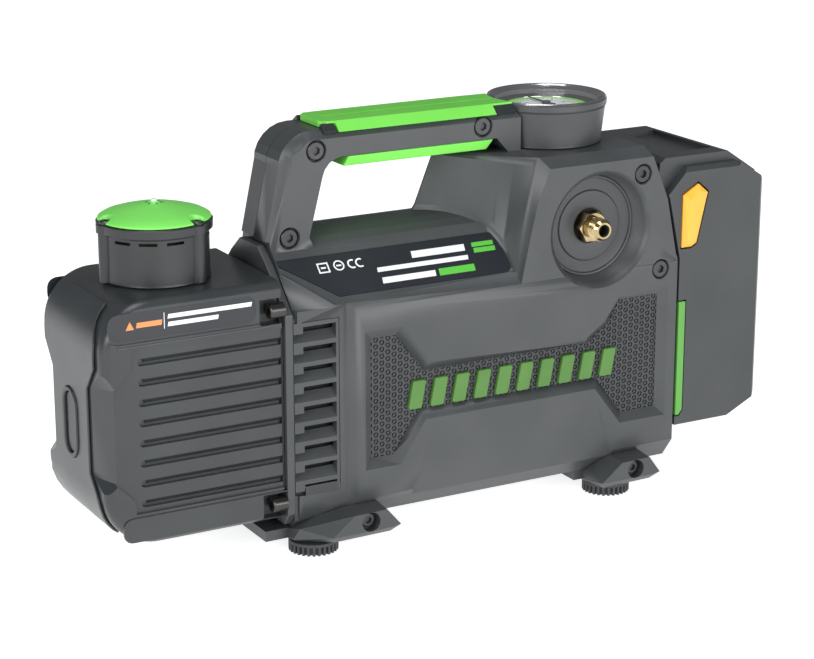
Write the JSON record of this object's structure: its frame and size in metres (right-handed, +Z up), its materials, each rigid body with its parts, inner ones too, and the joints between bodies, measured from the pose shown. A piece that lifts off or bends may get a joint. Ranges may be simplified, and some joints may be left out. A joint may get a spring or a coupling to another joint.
{
  "type": "cordless refrigeration vacuum pump",
  "caption": "Portable battery-powered rotary vane vacuum pump with finned oil tank, carrying handle, top gauge, side flare port and slide-up battery.",
  "frame": {"origin": "middle of the overall box, on the plane that the four rubber feet stand on", "axes": "+X from the oil tank towards the battery; -Y the side with the flare fitting; +Z up"},
  "size_m": [0.364, 0.104, 0.2002],
  "materials": {
    "body_grey": "fine moulded texture, satin",
    "battery_grey": "fine moulded texture, satin",
    "tank_grey": "smooth satin paint",
    "foot_grey": "fine moulded texture, satin",
    "trim_dark": "satin",
    "textured_dark": "raised ring texture",
    "label_film": "printed film, satin",
    "emblem_green": "satin",
    "grip_green": "soft satin overmould",
    "cap_green": "smooth satin",
    "strip_green": "satin",
    "button_green": "satin",
    "latch_orange": "satin",
    "bezel_metal": "dark polished",
    "dial": "printed card",
    "needle_black": "matt black",
    "gauge_glass": "clear",
    "sight_glass": "clear over dark oil",
    "fitting_brass": "turned, lightly tarnished",
    "cast_alloy": "cast",
    "pump_iron": "machined",
    "shaft_steel": "ground",
    "plug_steel": "turned",
    "cell_steel": "sleeved cells",
    "copper_winding": "enamelled windings",
    "vane_black": "matt",
    "board_green": "solder mask",
    "filter_felt": "pressed felt",
    "gasket_rubber": "matt",
    "foot_rubber": "matt, serrated rim"
  },
  "bodies": {
    "pump_body": {"housing_front": "body_grey", "housing_rear": "body_grey", "vent_grille_front": "body_grey", "vent_grille_rear": "body_grey", "texture_panel_front": "textured_dark", "texture_panel_rear": "textured_dark", "emblem_front": "emblem_green", "emblem_rear": "emblem_green", "deck_label_front": "label_film", "deck_label_rear": "label_film", "grip_top": "grip_green", "grip_lower": "grip_green", "gauge_cup": "body_grey", "gauge_bezel": "bezel_metal", "gauge_dial": "dial", "gauge_lens": "gauge_glass", "inlet_fitting": "fitting_brass", "inlet_manifold": "cast_alloy", "oil_tank": "tank_grey", "tank_gasket": "gasket_rubber", "tank_end_panel": "tank_grey", "sight_glass_ring": "trim_dark", "sight_glass": "sight_glass", "drain_plug": "plug_steel", "exhaust_cup": "trim_dark", "exhaust_filter": "filter_felt", "pump_flange": "trim_dark", "pump_cylinder": "pump_iron", "pump_end_plate": "pump_iron", "shaft_seal": "gasket_rubber", "bearing_front": "shaft_steel", "bearing_rear": "shaft_steel", "motor_end_bell": "cast_alloy", "motor_stator": "copper_winding", "motor_rear_bell": "cast_alloy", "control_board": "board_green", "button_ring": "bezel_metal", "battery_dock": "trim_dark", "foot_bar_left": "foot_grey", "foot_bar_right": "foot_grey", "rubber_foot_1": "foot_rubber", "rubber_foot_2": "foot_rubber", "rubber_foot_3": "foot_rubber", "rubber_foot_4": "foot_rubber"},
    "drive_rotor": {"motor_shaft": "shaft_steel", "motor_rotor": "pump_iron", "cooling_fan": "vane_black", "pump_rotor": "shaft_steel"},
    "vane_1": {"pump_vane_1": "vane_black"},
    "vane_2": {"pump_vane_2": "vane_black"},
    "needle": {"gauge_needle": "needle_black"},
    "cap": {"oil_cap": "cap_green"},
    "button": {"power_button": "button_green"},
    "battery": {"battery_case": "battery_grey", "battery_cells": "cell_steel", "battery_contact_cover": "trim_dark", "battery_strip_front": "strip_green", "battery_strip_rear": "strip_green"},
    "latch_front": {"battery_latch_front": "latch_orange"},
    "latch_rear": {"battery_latch_rear": "latch_orange"}
  },
  "joints": [
    {"name": "rotor_spin", "type": "hinge", "parent": "pump_body", "child": "drive_rotor", "pos_m": [0, 0, 0.07], "axis": [1, 0, 0], "continuous": true},
    {"name": "vane_1_slide", "type": "slide", "parent": "drive_rotor", "child": "vane_1", "axis": [0, -1, 0], "range_m": [0, 0.0028]},
    {"name": "vane_2_slide", "type": "slide", "parent": "drive_rotor", "child": "vane_2", "axis": [0, 1, 0], "range_m": [0, 0.0028]},
    {"name": "needle_turn", "type": "hinge", "parent": "pump_body", "child": "needle", "pos_m": [0.0746, 0, 0.1952], "axis": [0, 0, 1], "range_deg": [-135, 135], "stiffness_Nm_per_rad": 0.0005},
    {"name": "oil_cap_turn", "type": "hinge", "parent": "pump_body", "child": "cap", "pos_m": [-0.1366, 0, 0.162], "axis": [0, 0, 1], "range_deg": [0, 90]},
    {"name": "power_press", "type": "slide", "parent": "pump_body", "child": "button", "axis": [0, -1, 0], "range_m": [0, 0.0015], "stiffness_N_per_m": 800},
    {"name": "battery_slide", "type": "slide", "parent": "pump_body", "child": "battery", "axis": [0, 0, 1], "range_m": [0, 0.1]},
    {"name": "latch_front_press", "type": "slide", "parent": "battery", "child": "latch_front", "axis": [0, 1, 0], "range_m": [0, 0.0024], "stiffness_N_per_m": 1200},
    {"name": "latch_rear_press", "type": "slide", "parent": "battery", "child": "latch_rear", "axis": [0, -1, 0], "range_m": [0, 0.0024], "stiffness_N_per_m": 1200}
  ]
}
